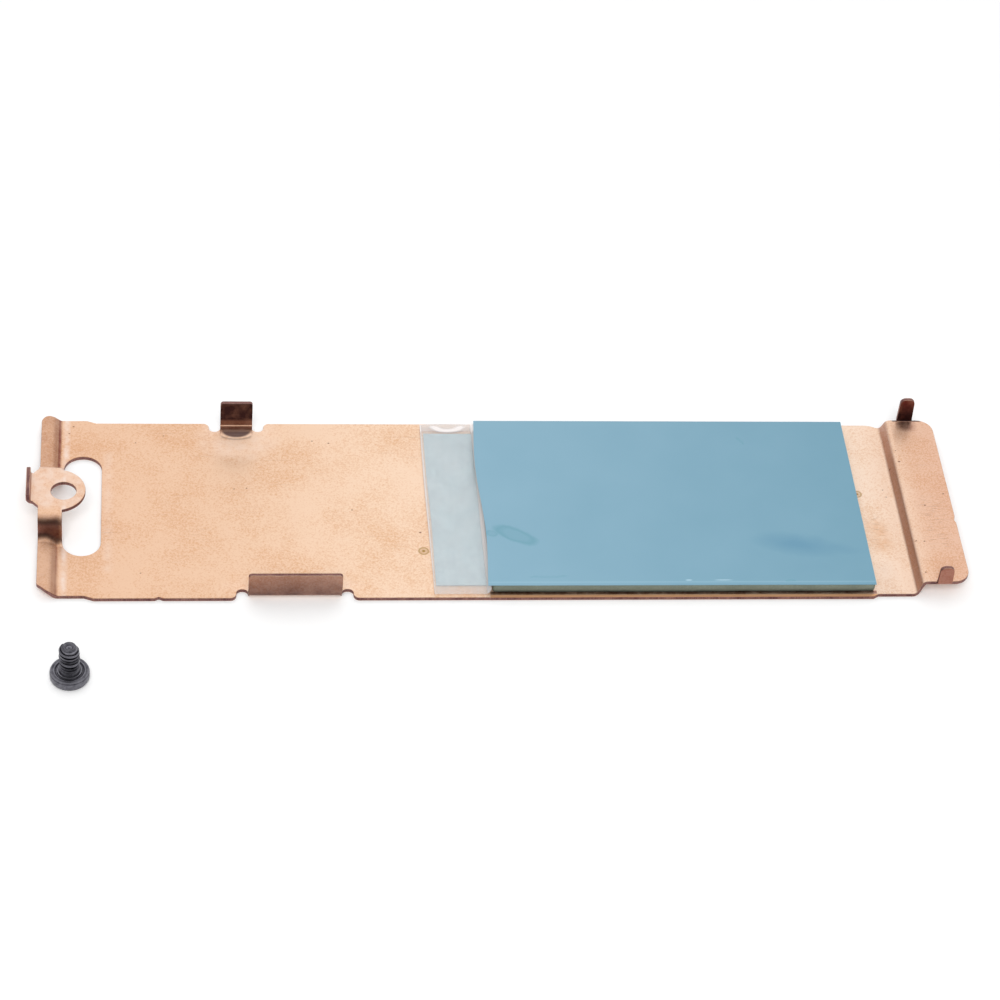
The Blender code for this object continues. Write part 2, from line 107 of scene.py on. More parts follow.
PITS = (
    (41.3, 5.7, 0.16), (44.9, 1.1, 0.13), (42.8, -0.5, 0.14), (41.1, -5.4, 0.12), (41.9, -5.5, 0.13),
    (41.3, -9.7, 0.12), (41.2, 7.3, 0.10), (-39.3, 11.9, 0.13), (-39.7, 10.9, 0.12), (-33.3, 9.6, 0.10),
    (-30.6, 10.6, 0.10), (-23.9, 3.1, 0.10), (-22.7, 3.2, 0.11), (-16.2, 9.9, 0.11), (-14.6, 9.6, 0.13),
    (-12.7, 0.2, 0.12), (-6.35, -2.9, 0.16), (39.4, 3.0, 0.10), (39.6, 2.0, 0.10), (40.5, 5.6, 0.10),
)
SHADE_BROWN = "4B3336"
# Painted shade darkens the tabs, the fingers and the ear's near wall. Between a band and its strength are the
# heights where the painted shade starts and where it is full.
SHADED_WALLS = (
    ((-25.2, -21.9, 11.0, 11.8, 0.1), (1.5, 2.1), 0.86), ((-25.2, -21.9, 11.0, 11.8, 0.1), (0.6, 0.8), 0.4),
    ((-24.0, -13.0, -12.0, -11.3, 0.1), (4.2, 0.2), 0.68), ((41.5, 44.5, 11.5, 12.3, 0.1), (4.6, 2.6), 0.93),
    ((-43.9, -40.2, -4.7, -1.9, 0.3), (2.9, 2.6), 0.4),
)
PUNCH_MARKS = ((-6.17, -5.42, 0.53), (36.75, 2.41, 0.50))


def linear(hexadecimal):
    """An sRGB hex colour as linear RGBA."""
    values = [int(hexadecimal[i:i + 2], 16) / 255 for i in (0, 2, 4)]
    return tuple(v / 12.92 if v < 0.04045 else ((v + 0.055) / 1.055) ** 2.4 for v in values) + (1.0,)


def set_inputs(tree, node, inputs):
    """Give each input of a node a value, a socket to read, or a node whose first result it reads."""
    for name, value in inputs.items():
        if isinstance(value, bpy.types.Node):
            value = next(output for output in value.outputs if output.enabled)
        if isinstance(value, bpy.types.NodeSocket):
            tree.links.new(value, node.inputs[name])
        else:
            node.inputs[name].default_value = value


def add_node(tree, kind, inputs=None, **settings):
    """A new node with its settings and its inputs."""
    node = tree.nodes.new(kind)
    for name, value in settings.items():
        setattr(node, name, value)
    set_inputs(tree, node, inputs or {})
    return node


def new_material(name):
    """A material with its tree, its shader and the object's own coordinates in millimetres."""
    surface = bpy.data.materials.new(name)
    surface.use_nodes = True
    tree = surface.node_tree
    place = add_node(tree, "ShaderNodeTexCoord")
    mm = add_node(
        tree, "ShaderNodeVectorMath", {0: place.outputs["Object"], "Scale": 1000.0}, operation="SCALE"
    )
    return surface, tree, tree.nodes["Principled BSDF"], mm


def new_object(name, data):
    """An object at the origin, in the scene."""
    made = bpy.data.objects.new(name, data)
    bpy.context.scene.collection.objects.link(made)
    return made


def new_piece(name, bm):
    """The bmesh as an object, smooth but for its sharp edges."""
    mesh = bpy.data.meshes.new(name)
    bm.to_mesh(mesh)
    bm.free()
    mesh.shade_smooth()
    mesh.set_sharp_from_angle(angle=SMOOTH_TURN)
    return new_object(name, mesh)


def rim_edges(bm):
    """The edges between the sheet's rolled faces and its cut edge, and the faces of the cut.

    Faces are flooded into regions over every turn gentler than SMOOTH_TURN. A region as narrow as the sheet is
    thick is a cut, and a wider one is rolled.
    """
    bm.faces.index_update()
    region_of = {}
    cut = set()
    for start in bm.faces:
        if start.index in region_of:
            continue
        region = [start]
        region_of[start.index] = start.index
        for face in region:
            for edge in face.edges:
                if edge.calc_face_angle(pi) >= SMOOTH_TURN:
                    continue
                for other in edge.link_faces:
                    if other.index not in region_of:
                        region_of[other.index] = start.index
                        region.append(other)
        area = sum(face.calc_area() for face in region)
        border = sum(
            edge.calc_length() for face in region for edge in face.edges
            if any(region_of.get(other.index) != start.index for other in edge.link_faces)
        )
        if 2 * area < CUT_WIDTH_LIMIT * border:
            cut.update(region)
    rims = [edge for edge in bm.edges if len({face in cut for face in edge.link_faces}) == 2]
    return rims, cut


bm = bmesh.new()
bm.from_mesh(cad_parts["heat_spreader"].data)
bmesh.ops.remove_doubles(bm, verts=bm.verts, dist=0.000001)
bmesh.ops.dissolve_limit(bm, angle_limit=FLAT_TURN, verts=bm.verts, edges=bm.edges)
rims, cut = rim_edges(bm)
bm.verts.index_update()
rim_points = sorted({vert for edge in rims for vert in edge.verts}, key=lambda vert: vert.index)
bmesh.ops.remove_doubles(bm, verts=rim_points, dist=RIM_POINT_SPACING)
bmesh.ops.dissolve_degenerate(bm, edges=bm.edges, dist=0.000001)
rims, cut = rim_edges(bm)
for face in cut:
    face.material_index = 1

# A hollow rim, where a tab rises beside its relief, stays sharp. So does a rim that runs into one, as the
# strip of metal between the two tapers to nothing and has no width to round.
hollow_points = [
    edge.verts[0].co.lerp(edge.verts[1].co, step / HOLLOW_STEPS)
    for edge in rims if not edge.is_convex for step in range(HOLLOW_STEPS + 1)
]
rounded = []
for edge in rims:
    middle = (edge.verts[0].co + edge.verts[1].co) / 2
    gap = min((middle - point).length for point in hollow_points)
    if edge.is_convex and gap > 2 * RIM_ROUNDING:
        rounded.append(edge)
bmesh.ops.bevel(
    bm, geom=rounded, offset=RIM_ROUNDING, offset_type="OFFSET", segments=3, profile=0.5,
    affect="EDGES", clamp_overlap=False, material=0,
)
for vert in bm.verts:
    vert.co.z = max(vert.co.z, 0.0)  # the panel lies on the table
copper_sheet = new_piece("copper_sheet", bm)
weighted = copper_sheet.modifiers.new("flat faces stay flat", "WEIGHTED_NORMAL")
weighted.keep_sharp = True
weighted.weight = 90

# Rolled copper, degreased: a bright pinkish metal with a soft haze. It is paler to the right and where the press
# worked it, painted duller and browner on its bends, walls and some bands as painted shade, and has a sandy grain,
# faint rolling lines and dark pits.
rolled_copper, tree, shader, mm = new_material("rolled_copper")
axes = add_node(tree, "ShaderNodeSeparateXYZ", {0: mm})
first, last = COPPER_ALONG[0][0], COPPER_ALONG[-1][0]
along = add_node(tree, "ShaderNodeMapRange", {"Value": axes.outputs["X"], 1: first, 2: last})
base = add_node(tree, "ShaderNodeValToRGB", {0: along})
stops = base.color_ramp.elements
for (x, colour), stop in zip((COPPER_ALONG[0], COPPER_ALONG[-1]), stops):
    stop.position, stop.color = (x - first) / (last - first), linear(colour)
for x, colour in COPPER_ALONG[1:-1]:
    stops.new((x - first) / (last - first)).color = linear(colour)

# Clouds of tarnish are 7 mm across, mottling 1 mm and grain 0.17 mm, the finest that shows at this size.
# Where they add up to little, the metal is clouded, and where they add up to much, it is fresh.
clouds = add_node(tree, "ShaderNodeTexNoise", {"Vector": mm, "Scale": 0.14, "Detail": 3.0, "Roughness": 0.55})
mottle = add_node(tree, "ShaderNodeTexNoise", {"Vector": mm, "Scale": 1.0, "Detail": 3.0, "Roughness": 0.6})
grain = add_node(tree, "ShaderNodeTexNoise", {"Vector": mm, "Scale": 6.0, "Detail": 2.0, "Roughness": 0.7})
fresh = -2.1
for texture, share in ((clouds, 2.1), (mottle, 0.55), (grain, 3.1)):
    fresh = add_node(tree, "ShaderNodeMath", {0: texture, 1: share, 2: fresh}, operation="MULTIPLY_ADD")
clouded_and_fresh = [
    add_node(tree, "ShaderNodeMix", {0: 1.0, 6: base, 7: factor}, data_type="RGBA", blend_type="MULTIPLY")
    for factor in (CLOUDED_FACTOR, FRESH_FACTOR)
]
copper = add_node(
    tree, "ShaderNodeMix", {0: fresh, 6: clouded_and_fresh[0], 7: clouded_and_fresh[1]}, data_type="RGBA"
)


def distance_from(tree, place, centre, reach, turn=0.0, reach_z=FLAT_REACH):
    """How many reaches a place is from a centre. It is measured in plan, unless a reach in height is given."""
    local = add_node(
        tree, "ShaderNodeMapping",
        {0: place, "Location": (*centre, 0), "Rotation": (0, 0, radians(turn)), "Scale": (*reach, reach_z)},
        vector_type="TEXTURE",
    )
    return add_node(tree, "ShaderNodeVectorMath", {0: local}, operation="LENGTH")


def peak_at(tree, value, middle, none, full, strength=1.0):
    """A strength where a value is within full of a middle, going down to nothing where it is none away."""
    off = add_node(tree, "ShaderNodeMath", {0: value, 1: middle}, operation="SUBTRACT")
    off = add_node(tree, "ShaderNodeMath", {0: off}, operation="ABSOLUTE")
    return add_node(tree, "ShaderNodeMapRange", {"Value": off, 1: none, 2: full, 4: strength})


def band_between(low_x, high_x, low_y, high_y, fade):
    """1 within a rectangle of the sheet, in millimetres, fading to 0 at its border."""
    half_x, half_y = (high_x - low_x) / 2, (high_y - low_y) / 2
    across = peak_at(tree, axes.outputs["X"], low_x + half_x, half_x, half_x - fade)
    deep = peak_at(tree, axes.outputs["Y"], low_y + half_y, half_y, half_y - fade)
    return add_node(tree, "ShaderNodeMath", {0: across, 1: deep}, operation="MULTIPLY")


# The press leaves pale halos round the tabs' feet and along the slot. The pale line at the foot of the raised strip
# is a painted highlight.
worked = 0.0
for centre, reach in HALOS:
    away = distance_from(tree, mm, centre, reach, reach_z=HALO_HEIGHT)
    ring = add_node(tree, "ShaderNodeMapRange", {"Value": away, 1: 1.0, 2: 0.5})
    worked = add_node(tree, "ShaderNodeMath", {0: worked, 1: ring}, operation="MAXIMUM")
halo_and_glint = add_node(tree, "ShaderNodeMath", {0: worked, 1: 0.38}, operation="MULTIPLY")
for rectangle, strength in PALE_AND_GLINT_BANDS:
    band = add_node(tree, "ShaderNodeMath", {0: band_between(*rectangle), 1: strength}, operation="MULTIPLY")
    halo_and_glint = add_node(tree, "ShaderNodeMath", {0: halo_and_glint, 1: band}, operation="MAXIMUM")
patchy = add_node(tree, "ShaderNodeMapRange", {"Value": mottle, 1: 0.36, 2: 0.62, 3: 0.25, 4: 1.0})
halo_and_glint = add_node(tree, "ShaderNodeMath", {0: halo_and_glint, 1: patchy}, operation="MULTIPLY")
copper = add_node(tree, "ShaderNodeMix", {0: halo_and_glint, 6: copper, 7: linear(COPPER_WORKED)}, data_type="RGBA")

# Lines along the rolling direction, 0.15 mm wide and 5 mm long, show where the sheet is cloudier.
long_way = add_node(tree, "ShaderNodeMapping", {0: mm, "Scale": (0.2, 6.0, 1.0)})
lines = add_node(tree, "ShaderNodeTexNoise", {"Vector": long_way, "Scale": 1.0, "Detail": 2.0, "Roughness": 0.6})
lines = add_node(tree, "ShaderNodeMapRange", {"Value": lines, 1: 0.60, 2: 0.80, 4: 0.22})
worn = add_node(tree, "ShaderNodeMapRange", {"Value": clouds, 1: 0.54, 2: 0.42, 3: 0.1, 4: 0.8})
marks = add_node(tree, "ShaderNodeMath", {0: lines, 1: worn}, operation="MULTIPLY")

# Finer scratches lie on the flange and beside the liner, 0.08 mm wide, where other parts have rubbed.
for rectangle, bend in SCRATCHED:
    wander = add_node(tree, "ShaderNodeTexNoise", {"Vector": mm, "Scale": 0.8, "Detail": 1.0})
    bent = add_node(
        tree, "ShaderNodeVectorMath", {0: wander.outputs["Color"], 1: (bend,) * 3, 2: mm}, operation="MULTIPLY_ADD"
    )
    fine = add_node(tree, "ShaderNodeMapping", {0: bent, "Scale": (0.9, 12.0, 1.0)})
    fine = add_node(tree, "ShaderNodeTexNoise", {"Vector": fine, "Scale": 1.0, "Detail": 1.0})
    fine = add_node(tree, "ShaderNodeMapRange", {"Value": fine, 1: 0.56, 2: 0.70, 4: 0.4})
    fine = add_node(tree, "ShaderNodeMath", {0: fine, 1: band_between(*rectangle)}, operation="MULTIPLY")
    marks = add_node(tree, "ShaderNodeMath", {0: marks, 1: fine}, operation="MAXIMUM")

# Beside the liner the rubbing has left a golden patch. The golden line along the margin in front of the pad is a
# painted highlight on its rolled rim.
rubbed_and_glint = add_node(tree, "ShaderNodeMapRange", {"Value": mottle, 1: 0.35, 2: 0.65, 3: 0.3, 4: 0.8})
rubbed_and_glint = add_node(tree, "ShaderNodeMath", {0: rubbed_and_glint, 1: band_between(*RUBBED_PLACE)}, operation="MULTIPLY")
rubbed_and_glint = add_node(tree, "ShaderNodeMath", {0: rubbed_and_glint, 1: band_between(*MARGIN_GLINT)}, operation="MAXIMUM")
copper = add_node(tree, "ShaderNodeMix", {0: rubbed_and_glint, 6: copper, 7: linear(GOLD_RUB_AND_GLINT)}, data_type="RGBA")

# Pits: a scatter of small ones, and the larger ones that the sheet really has.
scatter = add_node(tree, "ShaderNodeTexVoronoi", {"Vector": mm, "Scale": 0.55, "Randomness": 1.0})
chance = add_node(tree, "ShaderNodeSeparateColor", {0: scatter.outputs["Color"]})
reach = add_node(tree, "ShaderNodeMapRange", {"Value": chance, 1: 0.55, 2: 1.0, 3: 0.0, 4: 0.055})
inside = add_node(tree, "ShaderNodeMath", {0: reach, 1: scatter}, operation="SUBTRACT")
pits = add_node(tree, "ShaderNodeMapRange", {"Value": inside, 1: 0.0, 2: 0.03, 4: 0.8})
for x, y, radius in PITS:
    away = distance_from(tree, mm, (x, y), PIT_SHAPE)
    pit = add_node(tree, "ShaderNodeMapRange", {"Value": away, 1: radius, 2: radius * 0.4})
    pits = add_node(tree, "ShaderNodeMath", {0: pits, 1: pit}, operation="MAXIMUM")
marks = add_node(tree, "ShaderNodeMath", {0: marks, 1: pits}, operation="MAXIMUM")
copper = add_node(tree, "ShaderNodeMix", {0: marks, 6: copper, 7: linear(PIT_BROWN)}, data_type="RGBA")

# Two inspection punch marks: an ochre ring of residue with a dark centre.
residue = 0.0
for x, y, radius in PUNCH_MARKS:
    away = distance_from(tree, mm, (x, y), (1, 1))
    ring = peak_at(tree, away, radius * 0.82, radius * 0.26, 0.03, 0.75)
    inner = add_node(tree, "ShaderNodeMapRange", {"Value": away, 1: radius, 2: radius * 0.9, 4: 0.35})
    heart = add_node(tree, "ShaderNodeMapRange", {"Value": away, 1: radius * 0.45, 2: radius * 0.2})
    for amount in (ring, inner, heart):
        residue = add_node(tree, "ShaderNodeMath", {0: residue, 1: amount}, operation="MAXIMUM")
copper = add_node(tree, "ShaderNodeMix", {0: residue, 6: copper, 7: linear(STAIN_OCHRE)}, data_type="RGBA")

# Painted shade: the more upright a face, the duller and browner it is painted, so the bends and the walls beyond
# them are brown. Across a tab where its bend begins, a pale line is a painted highlight: the painted shade is taken
# off there and the surface is made matt.
facing = add_node(tree, "ShaderNodeNewGeometry")
upright = add_node(tree, "ShaderNodeSeparateXYZ", {0: facing.outputs["Normal"]})
upright = add_node(tree, "ShaderNodeMath", {0: upright.outputs["Z"]}, operation="ABSOLUTE")
painted_shade = add_node(tree, "ShaderNodeMapRange", {"Value": upright, 1: 0.93, 2: 0.45})
across = add_node(tree, "ShaderNodeMath", {0: axes.outputs["Y"]}, operation="ABSOLUTE")
on_tab = add_node(tree, "ShaderNodeMath", {0: across, 1: TAB_WALL, 2: TAB_WALL_REACH}, operation="COMPARE")
shade_patchiness = add_node(tree, "ShaderNodeMapRange", {"Value": mottle, 1: 0.35, 2: 0.65, 3: 1.25, 4: 0.75})
bend_glint = peak_at(tree, axes.outputs["Z"], BEND_GLINT_HEIGHT, 0.11, 0.03, 0.9)
left_of_pad = add_node(tree, "ShaderNodeMath", {0: axes.outputs["X"], 1: 0.0}, operation="LESS_THAN")
for limit in (on_tab, left_of_pad):
    bend_glint = add_node(tree, "ShaderNodeMath", {0: bend_glint, 1: limit}, operation="MULTIPLY")
painted_shade = add_node(tree, "ShaderNodeMath", {0: painted_shade, 1: bend_glint}, operation="SUBTRACT", use_clamp=True)

# At the rear tab's foot, a pale crescent where the bend meets the panel is a painted highlight, made matt, and the
# patch inside it is painted dark as painted shade.
away = distance_from(tree, mm, TAB_FOOT_CENTRE, TAB_FOOT_RADII)
on_panel = add_node(tree, "ShaderNodeMapRange", {"Value": axes.outputs["Z"], 1: 0.9, 2: 0.6})
on_panel = add_node(tree, "ShaderNodeMath", {0: on_panel, 1: band_between(*UNDER_DIE)}, operation="MULTIPLY")
crescent_glint = peak_at(tree, away, 1.0, 0.17, 0.04, 0.8)
crescent_glint = add_node(tree, "ShaderNodeMath", {0: crescent_glint, 1: on_panel}, operation="MULTIPLY")
dent_shade = add_node(tree, "ShaderNodeMapRange", {"Value": away, 1: 1.4, 2: 0.95, 4: 0.9})
dent_shade = add_node(tree, "ShaderNodeMath", {0: dent_shade, 1: on_panel}, operation="MULTIPLY")
dent_shade = add_node(tree, "ShaderNodeMath", {0: dent_shade, 1: crescent_glint}, operation="SUBTRACT", use_clamp=True)

# More painted shade lies in these bands, browner or, with a strength below 0, paler than their place alone would
# make them.
for rectangle, strength in SHADE_BANDS:
    band = band_between(*rectangle)
    for factor in (strength, shade_patchiness):
        band = add_node(tree, "ShaderNodeMath", {0: band, 1: factor}, operation="MULTIPLY")
    painted_shade = add_node(tree, "ShaderNodeMath", {0: painted_shade, 1: band}, operation="ADD")
painted_shade = add_node(tree, "ShaderNodeMath", {0: painted_shade, 1: 0.0}, operation="MAXIMUM")
brown = add_node(
    tree, "ShaderNodeMix", {0: painted_shade, 6: (1, 1, 1, 1), 7: WALL_SHADE_FACTOR}, data_type="RGBA", clamp_factor=False
)
copper = add_node(tree, "ShaderNodeMix", {0: 1.0, 6: copper, 7: brown}, data_type="RGBA", blend_type="MULTIPLY")

# Painted shade is darkest on the tabs, the fingers and the ear's near wall, from one height to another, and inside
# the crescent, but not on the pale line.
painted_dark = dent_shade
for rectangle, (no_shade, full_shade), strength in SHADED_WALLS:
    band = add_node(
        tree, "ShaderNodeMapRange", {"Value": axes.outputs["Z"], 1: no_shade, 2: full_shade, 4: strength}
    )
    for factor in (band_between(*rectangle), shade_patchiness):
        band = add_node(tree, "ShaderNodeMath", {0: band, 1: factor}, operation="MULTIPLY")
    painted_dark = add_node(tree, "ShaderNodeMath", {0: painted_dark, 1: band}, operation="MAXIMUM")
unglinted = add_node(tree, "ShaderNodeMath", {0: 1.0, 1: bend_glint}, operation="SUBTRACT")
painted_dark = add_node(tree, "ShaderNodeMath", {0: painted_dark, 1: unglinted}, operation="MULTIPLY", use_clamp=True)
copper = add_node(tree, "ShaderNodeMix", {0: painted_dark, 6: copper, 7: linear(SHADE_BROWN)}, data_type="RGBA")

# A thin haze makes part of the surface matt, more of it where the metal was worked, none under the painted shade,
# and all of it on the painted highlights at the tabs.
matt = add_node(tree, "ShaderNodeMath", {0: worked, 1: 0.6, 2: MATT_SHARE}, operation="MULTIPLY_ADD")
unshaded = add_node(tree, "ShaderNodeMath", {0: 1.0, 1: painted_shade}, operation="SUBTRACT", use_clamp=True)
matt = add_node(tree, "ShaderNodeMath", {0: matt, 1: unshaded}, operation="MULTIPLY")
for painted_glint in (bend_glint, crescent_glint):
    matt = add_node(tree, "ShaderNodeMath", {0: matt, 1: painted_glint}, operation="MAXIMUM")
metal = add_node(tree, "ShaderNodeMath", {0: 1.0, 1: matt}, operation="SUBTRACT", use_clamp=True)
haze = add_node(tree, "ShaderNodeMapRange", {"Value": mottle, 1: 0.3, 2: 0.7, 3: 0.32, 4: 0.40})
for amount, rise in ((marks, 0.15), (bend_glint, 0.3), (worked, 0.22), (painted_shade, 0.05)):
    haze = add_node(tree, "ShaderNodeMath", {0: amount, 1: rise, 2: haze}, operation="MULTIPLY_ADD")
height = grain
for amount, rise in ((marks, -1.2), (bend_glint, 2.0)):
    height = add_node(tree, "ShaderNodeMath", {0: amount, 1: rise, 2: height}, operation="MULTIPLY_ADD")
relief = add_node(tree, "ShaderNodeBump", {"Strength": 0.4, "Distance": 0.00001, "Height": height})
set_inputs(tree, shader, {"Base Color": copper, "Roughness": haze, "Normal": relief, "Metallic": metal})
copper_sheet.data.materials.append(rolled_copper)

# Sheared copper: the punch leaves the 0.4 mm edge torn and dull, with upright drag lines 0.1 mm apart. Its dark
# purple-grey is partly the dull cut and partly painted shade.
sheared_copper, tree, shader, mm = new_material("sheared_copper_edge")
drag = add_node(tree, "ShaderNodeMapping", {0: mm, "Scale": (9.0, 9.0, 0.8)})
drag = add_node(tree, "ShaderNodeTexNoise", {"Vector": drag, "Scale": 1.0, "Detail": 2.0})
torn = add_node(tree, "ShaderNodeTexNoise", {"Vector": mm, "Scale": 0.7, "Detail": 3.0})
blend = add_node(tree, "ShaderNodeMath", {0: drag, 1: 0.6, 2: torn}, operation="MULTIPLY_ADD")
blend = add_node(tree, "ShaderNodeMapRange", {"Value": blend, 1: 0.6, 2: 1.0})
colour = add_node(tree, "ShaderNodeMix", {0: blend, 6: linear(CUT_DARK), 7: linear(CUT_LIGHT)}, data_type="RGBA")
rough = add_node(tree, "ShaderNodeMapRange", {"Value": torn, 1: 0.3, 2: 0.7, 3: 0.42, 4: 0.6})
relief = add_node(tree, "ShaderNodeBump", {"Strength": 0.6, "Distance": 0.00002, "Height": drag})
set_inputs(tree, shader, {"Base Color": colour, "Roughness": rough, "Normal": relief, "Metallic": 1.0})
copper_sheet.data.materials.append(sheared_copper)

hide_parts("heat_spreader")
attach(copper_sheet, "root")


# ---- The thermal pad
# A soft slab of grey-green silicone filled with ceramic powder, die cut and laid on the panel. Its cut sides
# bulge and waver a little, and its lower edge lifts here and there where it isn't pressed down.
PAD_GREEN = "737B6D"
PAD_PALE = "848B7D"
PAD_SHADE = "4E5349"
PAD_STEPS = (146, 90, 4)
PAD_SIDE_PULL = 0.00005
PAD_WAVER = 0.00005
PAD_CORNER = 0.0003
PAD_WAVES_PER_METRE = 280
PAD_LIFT = 1.6

low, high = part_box("thermal_pad")
size = high - low
middle = (low + high) / 2
bm = bmesh.new()
bmesh.ops.create_cube(bm, size=1.0)
for axis, steps in enumerate(PAD_STEPS):
    edges = [e for e in bm.edges if abs((e.verts[0].co - e.verts[1].co)[axis]) > 0.5]
    bmesh.ops.subdivide_edges(bm, edges=edges, cuts=steps - 1, use_grid_fill=True)
for vert in bm.verts:
    share = vert.co.copy()
    level = 2 * share.z
    point = Vector([middle[i] + share[i] * size[i] for i in range(3)])
    corner_x = max(0.0, abs(point.x - middle.x) - (size.x / 2 - PAD_CORNER))
    corner_y = max(0.0, abs(point.y - middle.y) - (size.y / 2 - PAD_CORNER))
    over = (corner_x ** 2 + corner_y ** 2) ** 0.5 - PAD_CORNER
    ripple = noise.noise(Vector((point.x * PAD_WAVES_PER_METRE, point.y * PAD_WAVES_PER_METRE, 1.7)))
    side = Vector((share.x if abs(share.x) > 0.499 else 0, share.y if abs(share.y) > 0.499 else 0, 0))
    if side.length:
        pull = max(0.0, over) + PAD_SIDE_PULL * level ** 2 + PAD_WAVER * 0.5 * (1 + ripple)
        point -= side.normalized() * pull
        if level < -0.99:
            point.z += PAD_WAVER * max(0.0, ripple) * PAD_LIFT
    vert.co = point
bmesh.ops.recalc_face_normals(bm, faces=bm.faces)
silicone_pad = new_piece("silicone_pad", bm)

# Filled silicone rubber: matt and slightly waxy, speckled by grains of filler about 0.12 mm across, and darker
# toward its lower edge: painted shade.
filled_silicone, tree, shader, mm = new_material("filled_silicone_rubber")
specks = add_node(tree, "ShaderNodeTexVoronoi", {"Vector": mm, "Scale": 6.0})
smear = add_node(tree, "ShaderNodeTexNoise", {"Vector": mm, "Scale": 0.8, "Detail": 4.0})
blend = add_node(tree, "ShaderNodeMath", {0: specks, 1: 0.4, 2: smear}, operation="MULTIPLY_ADD")
blend = add_node(tree, "ShaderNodeMapRange", {"Value": blend, 1: 0.45, 2: 0.95})
silicone = add_node(tree, "ShaderNodeMix", {0: blend, 6: linear(PAD_GREEN), 7: linear(PAD_PALE)}, data_type="RGBA")
axes = add_node(tree, "ShaderNodeSeparateXYZ", {0: mm})
lower_shade = add_node(tree, "ShaderNodeMath", {0: smear, 1: -0.5, 2: axes.outputs["Z"]}, operation="MULTIPLY_ADD")
lower_shade = add_node(tree, "ShaderNodeMapRange", {"Value": lower_shade, 1: 0.55, 2: 0.22, 4: 0.85})
silicone = add_node(tree, "ShaderNodeMix", {0: lower_shade, 6: silicone, 7: linear(PAD_SHADE)}, data_type="RGBA")
rough = add_node(tree, "ShaderNodeMapRange", {"Value": smear, 1: 0.3, 2: 0.7, 3: 0.62, 4: 0.8})
relief = add_node(tree, "ShaderNodeBump", {"Strength": 0.5, "Distance": 0.00002, "Height": specks})
set_inputs(tree, shader, {"Base Color": silicone, "Roughness": rough, "Normal": relief})
silicone_pad.data.materials.append(filled_silicone)

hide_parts("thermal_pad")
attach(silicone_pad, "root")


# ---- The blue liner of the pad
# Release film, blue PET with a silicone coat, cut from the roll and pressed on the pad to keep it clean. It lies
# nearly flat with slow ripples. Its left cut wanders, and its front edge is pinched down a little.
BLUE_LEFT = "82ABBF"
BLUE_RIGHT = "6D9BB0"
BLUE_WET = "5E97A8"
BLUE_DAMP = "5C8FAA"
BLUE_CREASE_AND_GLINT = "A9CBDA"
LINER_OVERHANG = 0.0003
CREASE_LINE = -10.62
FILM_CUT_REACH = 0.004
FILM_PINCH_REACH = 0.0005
WET_PLACES = (
    ((2.6, -4.3), -29.0, (2.2, 0.85), 0.75), ((0.35, -4.1), -20.0, (0.6, 0.42), 0.6),
    ((5.2, -9.9), 3.0, (1.8, 0.12), 0.4), ((25.9, 8.9), -60.0, (0.6, 0.13), 0.55),
    ((28.17, -10.5), 0.0, (0.5, 0.12), 0.8),
)
DAMP_PLACES = (((29.5, -5.6), -10.0, (2.8, 1.0), 0.8), ((32.6, -6.0), -10.0, (2.4, 0.5), 0.4))
# Painted highlights: glints on the liner's front edge.
PAINTED_GLINTS = (((18.5, -10.39), 0.0, (0.3, 0.1), 0.8), ((21.8, -10.39), 0.0, (0.8, 0.08), 0.7))


def geometry_tree(name, inputs):
    """A Geometry Nodes tree with a geometry output and named inputs by kind, and the sockets these give."""
    tree = bpy.data.node_groups.new(name, "GeometryNodeTree")
    for kind, names in inputs.items():
        for item in names:
            tree.interface.new_socket(item, in_out="INPUT", socket_type="NodeSocket" + kind)
    tree.interface.new_socket("Geometry", in_out="OUTPUT", socket_type="NodeSocketGeometry")
    return tree, add_node(tree, "NodeGroupInput").outputs


